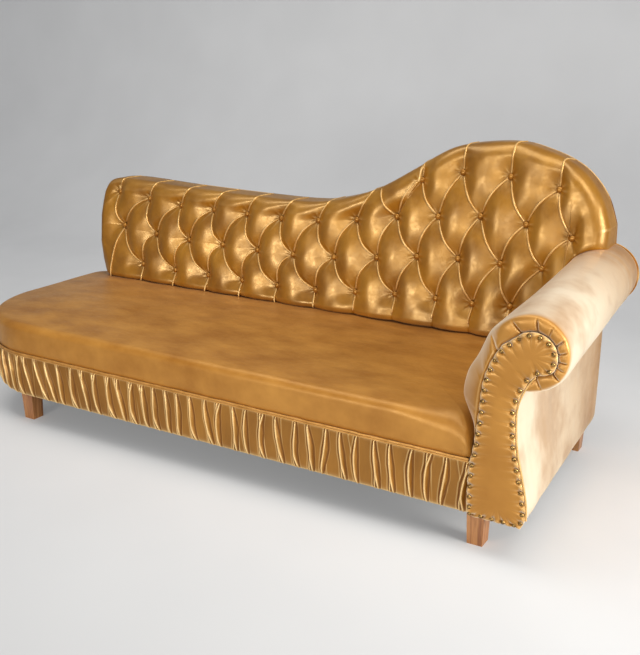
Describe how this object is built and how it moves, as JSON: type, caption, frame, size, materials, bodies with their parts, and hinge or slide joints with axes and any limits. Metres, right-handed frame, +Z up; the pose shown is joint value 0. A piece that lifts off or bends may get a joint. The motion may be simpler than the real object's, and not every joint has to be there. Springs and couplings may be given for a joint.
{
  "type": "fainting couch",
  "caption": "Fainting couch with a rounded foot end, a rolled arm with a nailed scroll facing, a serpentine diamond-tufted back and a gathered band over short tapered legs.",
  "frame": {"origin": "centre of the couch's bounding box in plan, at floor level, under the legs' feet", "axes": "+X runs along the couch from the foot end to the arm, the front of the seat faces -Y, +Z is up"},
  "size_m": [2.1384, 0.8076, 0.9538],
  "materials": {
    "gold_velvet": "antique gold satin velvet, short nap with a strong sheen",
    "velvet_piping": "the same velvet sewn round a cord",
    "leg_wood": "clear satin varnish over straight-grained wood",
    "frame_wood": "sawn softwood, bare",
    "foam": "open-cell upholstery foam",
    "webbing": "woven jute webbing",
    "black_cloth": "thin non-woven dust cover",
    "antique_brass": "antique finish, darkened round the edge",
    "steel": "zinc plated"
  },
  "bodies": {
    "root": {"front_rail": "frame_wood", "corner_rail": "frame_wood", "foot_rail": "frame_wood", "rear_rail": "frame_wood", "arm_rail": "frame_wood", "seat_stretchers": "frame_wood", "leg_blocks": "frame_wood", "leg_front_left": "leg_wood", "leg_front_right": "leg_wood", "leg_rear_left": "leg_wood", "leg_rear_right": "leg_wood", "leg_bolts": "steel", "tee_nuts": "steel", "dust_cover": "black_cloth", "cross_webbing": "webbing", "long_webbing": "webbing", "seat_foam": "foam", "seat_cover": "gold_velvet", "double_welt": "velvet_piping", "gathered_band": "gold_velvet", "back_bottom_rail": "frame_wood", "back_post_left": "frame_wood", "back_post_right": "frame_wood", "back_studs": "frame_wood", "back_top_rail": "frame_wood", "back_webbing": "webbing", "back_foam": "foam", "back_pad": "gold_velvet", "back_buttons": "gold_velvet", "outside_back": "gold_velvet", "arm_front_board": "frame_wood", "arm_rear_board": "frame_wood", "arm_inner_panel": "frame_wood", "arm_roll_core": "frame_wood", "arm_pad": "gold_velvet", "arm_gather_ring": "gold_velvet", "arm_facing": "gold_velvet", "facing_welt": "velvet_piping", "facing_nails": "antique_brass", "outside_arm": "gold_velvet"}
  },
  "joints": []
}
